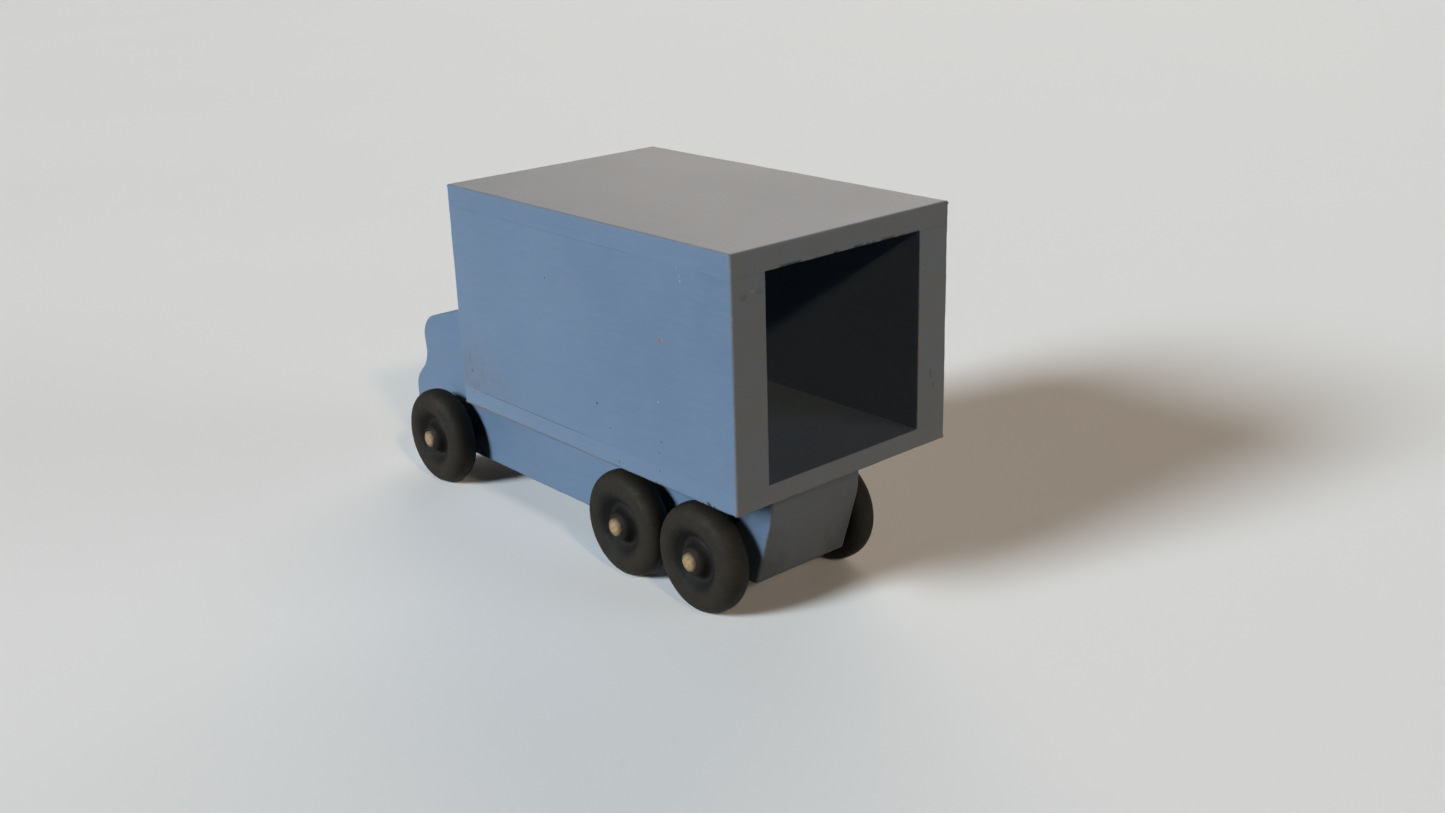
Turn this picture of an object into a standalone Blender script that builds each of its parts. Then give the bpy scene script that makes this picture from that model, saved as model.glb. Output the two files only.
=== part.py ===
"""Wooden toy box truck.

A cargo box of five boards, open at the back, sits in the notch of one sawn
block that is both chassis and cab. Three dowel axles turn in plain bores
through the chassis, and each carries two wheels fixed on its ends.

Frame: +X towards the cab, +Y to the truck's left, +Z up, in metres. The
origin is on the ground under the middle of the truck.
"""
import math

import bmesh
import bpy
from mathutils import Matrix

# Clearance left between pieces that touch.
GAP = 0.0003

# Cargo box, outside sizes and board thicknesses.
BOX_LENGTH = 0.1397
BOX_WIDTH = 0.088
BOX_HEIGHT = 0.0762
SIDE_THICKNESS = 0.0127
FRONT_THICKNESS = 0.0127
FLOOR_THICKNESS = 0.00635
ROOF_THICKNESS = 0.0071
BOARD_EDGE = 0.0004

# Chassis and cab, sawn from one plank. The cargo box overhangs its rear end.
BLOCK_WIDTH = 0.0381
BLOCK_CORNER = 0.0015
CHASSIS_DEPTH = 0.0366
REAR_OVERHANG = 0.0125
NOSE_REACH = 0.2168
CAB_BACK_HEIGHT = 0.0285
BLOCK_EDGE = 0.0008

# Wheels and axles.
WHEEL_RADIUS = 0.018
WHEEL_WIDTH = 0.010
SHOULDER_RADIUS = 0.005
WHEEL_TRACK = 0.055
AXLE_RADIUS = 0.003175
AXLE_LENGTH = 0.0686
AXLE_CHAMFER = 0.0004
AXLE_BORE_RADIUS = 0.003575
AXLE_BELOW_BOX = 0.029
HUB_RADIUS = 0.0049
HUB_PROUD = 0.0007
HUB_CHAMFER = 0.0005
INNER_HUB_RADIUS = 0.0058
HUB_CLEARANCE = 0.00055
SHOULDER_SQUARENESS = 2.4
# Outer face between hub and shoulder: radius, and height over the wheel's middle.
WHEEL_DISH = [
    (0.0054, 0.0024),
    (0.0064, 0.0017),
    (0.0076, 0.0021),
    (0.0088, 0.0036),
    (0.0104, 0.0047),
]
AXLE_STATIONS = {"rear": 0.0348, "middle": 0.0718, "front": 0.1858}

# Countersunk screws that hold the cargo box down on the chassis.
SCREW_STATIONS = {"rear": 0.0533, "front": 0.112}
SCREW_HEAD_RADIUS = 0.0036
SCREW_SHANK_RADIUS = 0.0018
SCREW_LENGTH = 0.0254
SCREW_THREAD_DEPTH = 0.0004
SCREW_SHANK_SHARE = 0.4
SCREW_POINT_SHARE = 0.15
SCREW_THREAD_TURNS = 8
SCREW_SLOT_WIDTH = 0.0009
SCREW_SLOT_DEPTH = 0.0009
PILOT_SPARE = 0.001

# How far a cutter runs past the piece it cuts.
CUT_SPARE = 0.005

# Resolution of round shapes.
WHEEL_STEPS = 36
SHOULDER_STEPS = 8
AXLE_STEPS = 28
SCREW_STEPS = 16
BORE_STEPS = 32
ARC_STEP = math.radians(9.0)
SMOOTH_ANGLE = math.radians(35.0)
MERGE = 0.00001

# Places that follow from the sizes above.
TRUCK_REAR = -NOSE_REACH / 2.0
AXLE_HEIGHT = WHEEL_RADIUS
BOX_BASE = AXLE_HEIGHT + AXLE_BELOW_BOX
BOX_TOP = BOX_BASE + BOX_HEIGHT
FLOOR_TOP = BOX_BASE + FLOOR_THICKNESS
ROOF_UNDERSIDE = BOX_TOP - ROOF_THICKNESS


def clear_scene():
    for thing in list(bpy.data.objects):
        bpy.data.objects.remove(thing, do_unlink=True)


def new_collection(name):
    group = bpy.data.collections.new(name)
    bpy.context.scene.collection.children.link(group)
    return group


def new_material(name, colour, roughness, metallic=0.0):
    material = bpy.data.materials.new(name)
    material.use_nodes = True
    shader = material.node_tree.nodes["Principled BSDF"]
    shader.inputs["Base Color"].default_value = (*colour, 1.0)
    shader.inputs["Roughness"].default_value = roughness
    shader.inputs["Metallic"].default_value = metallic
    return material


def place(name, mesh, group, material=None):
    """Link a mesh to its collection as a named object."""
    thing = bpy.data.objects.new(name, mesh)
    group.objects.link(thing)
    if material is not None:
        mesh.materials.append(material)
    return thing


def mesh_from(name, shape):
    """Turn a finished bmesh into a mesh and free it."""
    bmesh.ops.recalc_face_normals(shape, faces=shape.faces)
    mesh = bpy.data.meshes.new(name)
    shape.to_mesh(mesh)
    shape.free()
    return mesh


def smooth(mesh):
    mesh.shade_smooth()
    mesh.set_sharp_from_angle(angle=SMOOTH_ANGLE)


def hide_cutter(cutter):
    cutter.hide_render = True
    cutter.display_type = "WIRE"


def cut(thing, cutter):
    """Subtract a cutter from a piece."""
    boolean = thing.modifiers.new("cut_" + cutter.name, "BOOLEAN")
    boolean.operation = "DIFFERENCE"
    boolean.solver = "EXACT"
    boolean.object = cutter


def board(name, x_span, y_span, z_span, group, material):
    """A flat board between the given limits, its edges lightly sanded."""
    spans = (x_span, y_span, z_span)
    size = [high - low for low, high in spans]
    shape = bmesh.new()
    bmesh.ops.create_cube(shape, size=1.0)
    bmesh.ops.scale(shape, vec=size, verts=shape.verts)
    thing = place(name, mesh_from(name, shape), group, material)
    thing.location = [(low + high) / 2.0 for low, high in spans]
    bevel = thing.modifiers.new("sanded_edges", "BEVEL")
    bevel.width = BOARD_EDGE
    bevel.segments = 2
    return thing


def rounded_outline(corners):
    """Points of a closed outline whose corners are (x, z, fillet radius)."""
    points = []
    count = len(corners)
    for index, (x, z, radius) in enumerate(corners):
        before = corners[index - 1]
        after = corners[(index + 1) % count]
        if radius == 0.0:
            points.append((x, z))
            continue
        towards_before = math.atan2(before[1] - z, before[0] - x)
        towards_after = math.atan2(after[1] - z, after[0] - x)
        opening = math.remainder(towards_after - towards_before, math.tau)
        reach = radius / math.tan(abs(opening) / 2.0)
        bisector = towards_before + opening / 2.0
        centre_distance = radius / math.sin(abs(opening) / 2.0)
        centre_x = x + centre_distance * math.cos(bisector)
        centre_z = z + centre_distance * math.sin(bisector)
        first = math.atan2(
            z + reach * math.sin(towards_before) - centre_z,
            x + reach * math.cos(towards_before) - centre_x,
        )
        last = math.atan2(
            z + reach * math.sin(towards_after) - centre_z,
            x + reach * math.cos(towards_after) - centre_x,
        )
        sweep = math.remainder(last - first, math.tau)
        steps = max(2, math.ceil(abs(sweep) / ARC_STEP))
        for step in range(steps + 1):
            angle = first + sweep * step / steps
            points.append((centre_x + radius * math.cos(angle), centre_z + radius * math.sin(angle)))
    return points


def block_corners():
    """Side outline of the chassis and cab, from the cargo box's lower rear edge.

    It runs along the chassis top, up the cab's back, down the sloping roof and
    the windscreen, round the nose, back along the underside and up the
    undercut rear end.
    """
    cab_back = BOX_LENGTH + GAP
    chassis_top = -GAP
    return [
        (REAR_OVERHANG, chassis_top, BLOCK_CORNER),
        (cab_back, chassis_top, 0.0),
        (cab_back, CAB_BACK_HEIGHT, BLOCK_CORNER),
        (0.172, 0.0219, 0.110),
        (0.2083, 0.0110, 0.0060),
        (0.2070, -0.0056, 0.0100),
        (NOSE_REACH, -0.0148, 0.0120),
        (NOSE_REACH, -CHASSIS_DEPTH, 0.0080),
        (0.0200, -CHASSIS_DEPTH, 0.0020),
        (0.0128, -0.0130, 0.0250),
    ]


def outline_plate(name, points, thickness, group):
    """Fill a flat outline, give it thickness, and return it as a mesh object."""
    curve = bpy.data.curves.new(name + "_outline", "CURVE")
    curve.dimensions = "2D"
    curve.fill_mode = "BOTH"
    curve.extrude = thickness / 2.0
    spline = curve.splines.new("POLY")
    spline.points.add(len(points) - 1)
    for point, (x, z) in zip(spline.points, points):
        point.co = (x, z, 0.0, 1.0)
    spline.use_cyclic_u = True
    guide = bpy.data.objects.new(name + "_outline", curve)
    group.objects.link(guide)
    guide.rotation_euler = (math.radians(90.0), 0.0, 0.0)
    guide.location = (TRUCK_REAR, 0.0, BOX_BASE)
    bpy.context.view_layer.update()
    solid = guide.evaluated_get(bpy.context.evaluated_depsgraph_get())
    mesh = bpy.data.meshes.new_from_object(solid)
    thing = bpy.data.objects.new(name, mesh)
    thing.matrix_world = guide.matrix_world.copy()
    group.objects.link(thing)
    bpy.data.objects.remove(guide, do_unlink=True)
    return thing


def sand_outline_edges(mesh, thickness):
    """Weld the caps of a thick outline and round the edges round both its faces."""
    shape = bmesh.new()
    shape.from_mesh(mesh)
    bmesh.ops.remove_doubles(shape, verts=shape.verts, dist=MERGE)
    bmesh.ops.dissolve_limit(
        shape, angle_limit=math.radians(1.0), verts=shape.verts, edges=shape.edges
    )
    rim = []
    for edge in shape.edges:
        on_face = all(abs(abs(vert.co.z) - thickness / 2.0) < MERGE for vert in edge.verts)
        same_side = edge.verts[0].co.z * edge.verts[1].co.z > 0.0
        if on_face and same_side:
            rim.append(edge)
    bmesh.ops.bevel(
        shape, geom=rim, offset=BLOCK_EDGE, segments=2, profile=0.5, affect="EDGES"
    )
    bmesh.ops.recalc_face_normals(shape, faces=shape.faces)
    shape.to_mesh(mesh)
    shape.free()


def rod_cutter(name, radius, length, location, axis, group):
    """A round cutter centred at a place, along Y or Z."""
    shape = bmesh.new()
    bmesh.ops.create_cone(
        shape, cap_ends=True, segments=BORE_STEPS, radius1=radius, radius2=radius, depth=length
    )
    if axis == "Y":
        turn = Matrix.Rotation(math.radians(90.0), 3, "X")
        bmesh.ops.rotate(shape, cent=(0.0, 0.0, 0.0), matrix=turn, verts=shape.verts)
    cutter = place(name, mesh_from(name, shape), group)
    cutter.location = location
    hide_cutter(cutter)
    return cutter


def turned_mesh(name, profile, closed):
    """Turn a profile of (radius, height) pairs about Z, given top to bottom."""
    mesh = bpy.data.meshes.new(name)
    count = len(profile)
    edges = [(index, index + 1) for index in range(count - 1)]
    if closed:
        edges.append((count - 1, 0))
    mesh.from_pydata([(radius, 0.0, height) for radius, height in profile], edges, [])
    return mesh


def add_turning(thing, steps):
    screw = thing.modifiers.new("turned", "SCREW")
    screw.axis = "Z"
    screw.steps = steps
    screw.render_steps = steps
    screw.use_merge_vertices = True
    screw.merge_threshold = MERGE
    screw.use_smooth_shade = True


def make_block(parts, cutters, paint):
    """The chassis and cab block, bored for its axles and drilled for the screws."""
    block = outline_plate("chassis_and_cab", rounded_outline(block_corners()), BLOCK_WIDTH, parts)
    sand_outline_edges(block.data, BLOCK_WIDTH)
    block.data.materials.append(paint)
    smooth(block.data)
    for station, reach in AXLE_STATIONS.items():
        place_at = (TRUCK_REAR + reach, 0.0, AXLE_HEIGHT)
        length = BLOCK_WIDTH + 2.0 * CUT_SPARE
        bore = rod_cutter(station + "_bore", AXLE_BORE_RADIUS, length, place_at, "Y", cutters)
        cut(block, bore)
    pilot_radius = SCREW_SHANK_RADIUS + GAP
    pilot_depth = SCREW_LENGTH - FLOOR_THICKNESS + PILOT_SPARE
    for station, reach in SCREW_STATIONS.items():
        place_at = (TRUCK_REAR + reach, 0.0, BOX_BASE)
        pilot = rod_cutter(
            station + "_pilot_hole", pilot_radius, 2.0 * pilot_depth, place_at, "Z", cutters
        )
        cut(block, pilot)


def make_cargo_box(parts, cutters, paint):
    """Floor, two sides standing on it, a front board between them, and the roof on top."""
    x_rear = TRUCK_REAR
    x_front = TRUCK_REAR + BOX_LENGTH
    half = BOX_WIDTH / 2.0
    inner = half - SIDE_THICKNESS
    upright = (FLOOR_TOP + GAP / 2.0, ROOF_UNDERSIDE - GAP / 2.0)
    floor = board(
        "box_floor", (x_rear, x_front), (-half, half), (BOX_BASE, FLOOR_TOP - GAP / 2.0), parts, paint
    )
    board(
        "box_roof", (x_rear, x_front), (-half, half), (ROOF_UNDERSIDE + GAP / 2.0, BOX_TOP), parts, paint
    )
    board("box_side_left", (x_rear, x_front), (inner, half), upright, parts, paint)
    board("box_side_right", (x_rear, x_front), (-half, -inner), upright, parts, paint)
    board(
        "box_front",
        (x_front - FRONT_THICKNESS, x_front),
        (-inner + GAP, inner - GAP),
        upright,
        parts,
        paint,
    )
    for station, reach in SCREW_STATIONS.items():
        sink = countersink_cutter(station + "_countersink", cutters)
        sink.location = (TRUCK_REAR + reach, 0.0, FLOOR_TOP)
        cut(floor, sink)


def countersink_cutter(name, group):
    """A cone and a clearance hole for one screw, with its mouth at the local origin."""
    mouth = SCREW_HEAD_RADIUS + GAP
    shank = SCREW_SHANK_RADIUS + GAP
    profile = [
        (0.0, CUT_SPARE),
        (mouth, CUT_SPARE),
        (mouth, -GAP),
        (shank, -GAP - (mouth - shank)),
        (shank, -FLOOR_THICKNESS - CUT_SPARE),
        (0.0, -FLOOR_THICKNESS - CUT_SPARE),
    ]
    cutter = place(name, turned_mesh(name, profile, closed=False), group)
    add_turning(cutter, BORE_STEPS)
    hide_cutter(cutter)
    return cutter


def screw_profile():
    """A countersunk head, a plain shank and a ridged thread down to a point."""
    root = SCREW_SHANK_RADIUS - SCREW_THREAD_DEPTH
    cone = SCREW_HEAD_RADIUS - SCREW_SHANK_RADIUS
    shank_end = -SCREW_SHANK_SHARE * SCREW_LENGTH
    tip_start = -(1.0 - SCREW_POINT_SHARE) * SCREW_LENGTH
    pitch = (shank_end - tip_start) / SCREW_THREAD_TURNS
    profile = [
        (0.0, 0.0),
        (SCREW_HEAD_RADIUS, 0.0),
        (SCREW_SHANK_RADIUS, -cone),
        (SCREW_SHANK_RADIUS, shank_end),
    ]
    for turn in range(SCREW_THREAD_TURNS):
        ridge = shank_end - pitch * (turn + 1)
        profile.append((root, ridge + pitch / 2.0))
        profile.append((SCREW_SHANK_RADIUS, ridge))
    profile.append((root, tip_start - pitch / 2.0))
    profile.append((0.0, -SCREW_LENGTH))
    return profile


def make_screws(parts, cutters, steel):
    mesh = turned_mesh("floor_screw", screw_profile(), closed=False)
    mesh.materials.append(steel)
    for station, reach in SCREW_STATIONS.items():
        name = "floor_screw_" + station
        screw = place(name, mesh, parts)
        screw.location = (TRUCK_REAR + reach, 0.0, FLOOR_TOP - 2.0 * GAP)
        add_turning(screw, SCREW_STEPS)
        for turn, way in enumerate(("along", "across")):
            size = (1.4 * SCREW_HEAD_RADIUS, SCREW_SLOT_WIDTH, 2.0 * SCREW_SLOT_DEPTH)
            shape = bmesh.new()
            bmesh.ops.create_cube(shape, size=1.0)
            bmesh.ops.scale(shape, vec=size, verts=shape.verts)
            slot_name = name + "_recess_" + way
            slot = place(slot_name, mesh_from(slot_name, shape), cutters)
            slot.location = screw.location
            slot.rotation_euler = (0.0, 0.0, math.radians(90.0) * turn)
            hide_cutter(slot)
            cut(screw, slot)


def wheel_profile():
    """Half section of a wheel, (radius, distance out from its middle), outer face first.

    The tread rolls over into both faces. The outer face is dished round a
    raised hub, and the inner hub stands out to keep the wheel off the chassis.
    """
    bore = AXLE_RADIUS + GAP
    half = WHEEL_WIDTH / 2.0
    hub_face = half + HUB_PROUD
    inner_hub_face = -(WHEEL_TRACK - BLOCK_WIDTH) / 2.0 + HUB_CLEARANCE
    squareness = 2.0 / SHOULDER_SQUARENESS
    profile = [
        (bore, hub_face),
        (HUB_RADIUS - HUB_CHAMFER, hub_face),
        (HUB_RADIUS, hub_face - HUB_CHAMFER),
    ]
    profile.extend(WHEEL_DISH)
    for step in range(SHOULDER_STEPS + 1):
        angle = math.pi / 2.0 - math.pi * step / SHOULDER_STEPS
        out = max(0.0, math.cos(angle)) ** squareness
        along = math.copysign(abs(math.sin(angle)) ** squareness, math.sin(angle))
        profile.append((WHEEL_RADIUS - SHOULDER_RADIUS * (1.0 - out), half * along))
    profile.append((INNER_HUB_RADIUS + HUB_CHAMFER, -half))
    profile.append((INNER_HUB_RADIUS, inner_hub_face))
    profile.append((bore, inner_hub_face))
    return profile


def axle_profile():
    half = AXLE_LENGTH / 2.0
    return [
        (0.0, half),
        (AXLE_RADIUS - AXLE_CHAMFER, half),
        (AXLE_RADIUS, half - AXLE_CHAMFER),
        (AXLE_RADIUS, -half + AXLE_CHAMFER),
        (AXLE_RADIUS - AXLE_CHAMFER, -half),
        (0.0, -half),
    ]


def make_axle_sets(parts, black_paint, dowel_wood):
    """Three axles, each the parent of the two wheels fixed on it."""
    axle_mesh = turned_mesh("axle", axle_profile(), closed=False)
    axle_mesh.materials.append(dowel_wood)
    wheel_mesh = turned_mesh("wheel", wheel_profile(), closed=True)
    wheel_mesh.materials.append(black_paint)
    for station, reach in AXLE_STATIONS.items():
        axle = place("axle_" + station, axle_mesh, parts)
        add_turning(axle, AXLE_STEPS)
        axle.location = (TRUCK_REAR + reach, 0.0, AXLE_HEIGHT)
        axle.rotation_euler = (math.radians(-90.0), 0.0, 0.0)
        for side, sign in (("left", 1.0), ("right", -1.0)):
            wheel = place("wheel_" + station + "_" + side, wheel_mesh, parts)
            add_turning(wheel, WHEEL_STEPS)
            wheel.parent = axle
            wheel.location = (0.0, 0.0, sign * WHEEL_TRACK / 2.0)
            if sign < 0.0:
                wheel.rotation_euler = (math.radians(180.0), 0.0, 0.0)


def main():
    clear_scene()
    parts = new_collection("toy_box_truck")
    cutters = new_collection("cutters")
    blue_paint = new_material("blue_paint", (0.135, 0.225, 0.360), 0.55)
    black_paint = new_material("black_paint", (0.020, 0.018, 0.016), 0.50)
    dowel_wood = new_material("dowel_wood", (0.560, 0.400, 0.230), 0.60)
    steel = new_material("screw_steel", (0.560, 0.560, 0.550), 0.35, 1.0)
    make_block(parts, cutters, blue_paint)
    make_cargo_box(parts, cutters, blue_paint)
    make_screws(parts, cutters, steel)
    make_axle_sets(parts, black_paint, dowel_wood)


main()
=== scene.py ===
"""Looks of the wooden toy box truck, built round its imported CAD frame.

The five boards of the cargo box, the chassis and cab block, the wheels and the
axles are rebuilt as finer meshes with worn edges, cracks and chips, and stand
for their CAD nodes. The two screws keep their CAD mesh. Every material is
procedural. Lengths are in metres, in the frame of the CAD: +X towards the cab,
+Y to the truck's left, +Z up, with the ground at z = 0.
"""
import math

import bpy
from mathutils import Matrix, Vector, geometry, noise


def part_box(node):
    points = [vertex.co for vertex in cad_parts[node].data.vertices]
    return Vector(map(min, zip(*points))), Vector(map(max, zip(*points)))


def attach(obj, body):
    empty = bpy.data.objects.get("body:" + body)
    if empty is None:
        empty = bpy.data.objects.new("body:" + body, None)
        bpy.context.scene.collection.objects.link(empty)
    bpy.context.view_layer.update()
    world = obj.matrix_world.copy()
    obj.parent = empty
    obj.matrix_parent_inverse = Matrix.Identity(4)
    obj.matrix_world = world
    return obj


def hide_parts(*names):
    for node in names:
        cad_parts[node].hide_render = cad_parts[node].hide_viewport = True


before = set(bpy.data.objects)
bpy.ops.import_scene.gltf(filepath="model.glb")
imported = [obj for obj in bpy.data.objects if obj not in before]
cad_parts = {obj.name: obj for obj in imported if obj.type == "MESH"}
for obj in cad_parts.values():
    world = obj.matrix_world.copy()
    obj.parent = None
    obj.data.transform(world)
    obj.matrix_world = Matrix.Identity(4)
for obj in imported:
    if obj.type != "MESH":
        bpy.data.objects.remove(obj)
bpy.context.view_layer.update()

MM = 0.001
BODY = "truck"
AXLE_SETS = {"rear": "rear_axle_set", "middle": "middle_axle_set", "front": "front_axle_set"}

# Distances of the first mesh lines from a board's edge, and the spacing beyond them.
EDGE_LINES = [0.0, 0.1 * MM, 0.22 * MM, 0.4 * MM, 0.65 * MM, 0.95 * MM, 1.3 * MM, 1.8 * MM]
BOARD_SPACING = 1.6 * MM
CHIP_SPACING = 0.45 * MM

# Edge radii of the sanded boards and the block.
OPEN_EDGE = 0.75 * MM
LONG_CORNER = 1.15 * MM
SEAM_EDGE = 0.05 * MM
MOUTH_EDGE = 0.35 * MM
CRACK_EDGE = 0.15 * MM
BLOCK_EDGE = 0.9 * MM
BLOCK_EDGE_STEPS = 6
BLOCK_SPACING = 2.5 * MM
BLOCK_WEAR = 0.46
BLOCK_LAST_LINE = 1.6
BORE_CLEARANCE = 0.4 * MM
BORE_STEPS = 48
# Painted shade, grey and dark, on the block's rear end fades out forwards
# between these two distances, and towards its sides within the third.
BLOCK_END_REACH = (7.0 * MM, 9.0 * MM)
BLOCK_END_FADE = 0.3 * MM
# The gap that the CAD keeps between pieces that touch.
JOINT_GAP = 0.3 * MM
RIM_INSET = 0.3 * MM
WEAR_REACH = 1.6 * MM
# Within this distance a point belongs to the outer left face or the lower edge.
NEAR_FACE = 1.5 * MM

# Shares of grey on the roof, for dust and a painted sheen; of grey as painted
# shade on the end grain at the rear, inside the box and on the block's rear end;
# and of dark painted shade on the block's rear end.
ROOF_DUST_AND_SHEEN = 0.50
END_SHADE_GREY = 0.82
INSIDE_SHADE_GREY = 0.28
BLOCK_END_SHADE_GREY = 0.82
BLOCK_END_SHADE_DARK = 0.45
# The grey on a board's top face (dust and painted sheen) and rear face (painted shade) fades out within
# this distance of it.
DUST_AND_SHADE_FADE = 0.5 * MM
# How much paler the sides' paint is at the cab end, and darker at the rear.
SIDE_FADE = 0.22

# Side outline of the chassis and cab block, as in part.py, but for a rounder top
# of the windscreen.
CORNER_RADIUS = 1.5 * MM
SLOPE_RADIUS = 110.0 * MM
ARC_STEP = math.radians(4.0)

# Finely turned shapes.
WHEEL_STEPS = 112
AXLE_STEPS = 72
SHOULDER_STEPS = 26
WHEEL_DENTS = 0.05 * MM
AXLE_DENTS = 0.02 * MM
TREAD_HALF = 5.0 * MM
SHOULDER = 5.0 * MM
SQUARENESS = 2.4
HUB_RIM = 4.9 * MM
HUB_PROUD = 0.7 * MM
INNER_HUB = 5.8 * MM
WHEEL_BORE_GAP = 0.12 * MM
TURNING_PITCH = 0.42 * MM
TURNING_DEPTH = 0.018 * MM

# Colours, as linear reflectances.
BLUE_DEEP = (0.118, 0.182, 0.285)
BLUE_PALE = (0.159, 0.229, 0.333)
BLUE_GREY = (0.180, 0.210, 0.250)
BLUE_LILAC = (0.160, 0.202, 0.305)
# Grey for the roof's dust and painted sheen, and for painted shade on end grain and inside the box.
DUST_AND_SHADE_GREY = (0.168, 0.160, 0.145)
GRIME = (0.120, 0.095, 0.075)
BARE_WOOD = (0.330, 0.215, 0.125)
SOOT = (0.012, 0.012, 0.014)
FLECK = (0.400, 0.440, 0.480)
RUST = (0.300, 0.130, 0.050)
BLACK_DEEP = (0.0065, 0.0058, 0.0050)
BLACK_RUBBED = (0.036, 0.027, 0.016)
DOWEL_PALE = (0.500, 0.330, 0.160)
DOWEL_DARK = (0.220, 0.120, 0.050)
STEEL_BRIGHT = (0.62, 0.60, 0.56)
STEEL_DULL = (0.30, 0.27, 0.23)
# How strongly the black paint shines.
WHEEL_SPECULAR = 0.22


# ---------------------------------------------------------------- node helpers

def new_material(name):
    """A material, its tree, and its shader."""
    material = bpy.data.materials.new(name)
    material.use_nodes = True
    tree = material.node_tree
    return material, tree, tree.nodes["Principled BSDF"]


def node(tree, kind, inputs=None, **settings):
    """Add a node, set its properties, then set or link its named or numbered inputs."""
    made = tree.nodes.new(kind)
    for key, value in settings.items():
        setattr(made, key, value)
    for key, value in (inputs or {}).items():
        if isinstance(value, bpy.types.NodeSocket):
            tree.links.new(value, made.inputs[key])
        else:
            made.inputs[key].default_value = value
    return made


def rgba(colour):
    return (*colour, 1.0)


def maths(tree, operation, first, second=0.0):
    return node(tree, "ShaderNodeMath", {0: first, 1: second}, operation=operation).outputs[0]


def total(tree, first, *others):
    """Add up numbers and sockets, from the left."""
    for other in others:
        first = maths(tree, "ADD", first, other)
    return first


def times(tree, first, second):
    return maths(tree, "MULTIPLY", first, second)


def blend(tree, share, first, second):
    """Mix two colours; each is a colour or a socket."""
    values = []
    for value in (first, second):
        values.append(value if isinstance(value, bpy.types.NodeSocket) else rgba(value))
    made = node(tree, "ShaderNodeMix", {0: share, 6: values[0], 7: values[1]}, data_type="RGBA")
    return made.outputs[2]


def ramp(tree, value, low, high, to_low=0.0, to_high=1.0):
    """Smoothly carry a value from one range to another, held at both ends."""
    made = node(
        tree,
        "ShaderNodeMapRange",
        {"Value": value, "From Min": low, "From Max": high, "To Min": to_low, "To Max": to_high},
        interpolation_type="SMOOTHSTEP",
    )
    return made.outputs["Result"]


def vector_maths(tree, operation, inputs):
    return node(tree, "ShaderNodeVectorMath", inputs, operation=operation).outputs["Vector"]


def object_place(tree):
    return node(tree, "ShaderNodeTexCoord").outputs["Object"]


def stretched(tree, place, stretch):
    """Coordinates scaled per axis; a small number makes a pattern long that way."""
    return vector_maths(tree, "MULTIPLY", {0: place, 1: stretch})


def mottle(tree, place, scale, detail=3.0, roughness=0.55):
    """Noise between 0 and 1, its features about 1 / scale metres wide."""
    inputs = {"Vector": place, "Scale": scale, "Detail": detail, "Roughness": roughness}
    return node(tree, "ShaderNodeTexNoise", inputs).outputs["Fac"]


def surface_share(tree, name):
    """A share from 0 to 1 that the mesh carries at each point."""
    return node(tree, "ShaderNodeAttribute", attribute_name=name).outputs["Fac"]


def spot(tree, place, centre, reach, strength):
    """Its strength inside an oval spot, fading to 0 at its rim."""
    away = vector_maths(tree, "SUBTRACT", {0: place, 1: centre})
    share = stretched(tree, away, [1.0 / size for size in reach])
    length = node(tree, "ShaderNodeVectorMath", {0: share}, operation="LENGTH").outputs["Value"]
    return ramp(tree, length, 1.15, 0.55, 0.0, strength)


def finish_surface(tree, shader, colour, roughness, height):
    """Wire a colour, a roughness and a height in metres to the shader."""
    bump = node(tree, "ShaderNodeBump", {"Height": height, "Distance": 1.0, "Strength": 1.0})
    tree.links.new(colour, shader.inputs["Base Color"])
    tree.links.new(roughness, shader.inputs["Roughness"])
    tree.links.new(bump.outputs["Normal"], shader.inputs["Normal"])


# ------------------------------------------------------------------- materials

def marked(tree, place, colour, centre, reach, mark_colour, strength):
    """Lay one ragged oval mark over a colour."""
    smallest = min(reach)
    ragged = node(tree, "ShaderNodeTexNoise", {"Vector": place, "Scale": 0.8 / smallest, "Detail": 2.0})
    shift = vector_maths(tree, "SUBTRACT", {0: ragged.outputs["Color"], 1: (0.5, 0.5, 0.5)})
    shift = vector_maths(tree, "SCALE", {0: shift, "Scale": 1.6 * smallest})
    moved = vector_maths(tree, "ADD", {0: place, 1: shift})
    return blend(tree, spot(tree, moved, centre, reach, strength), colour, mark_colour)


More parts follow.
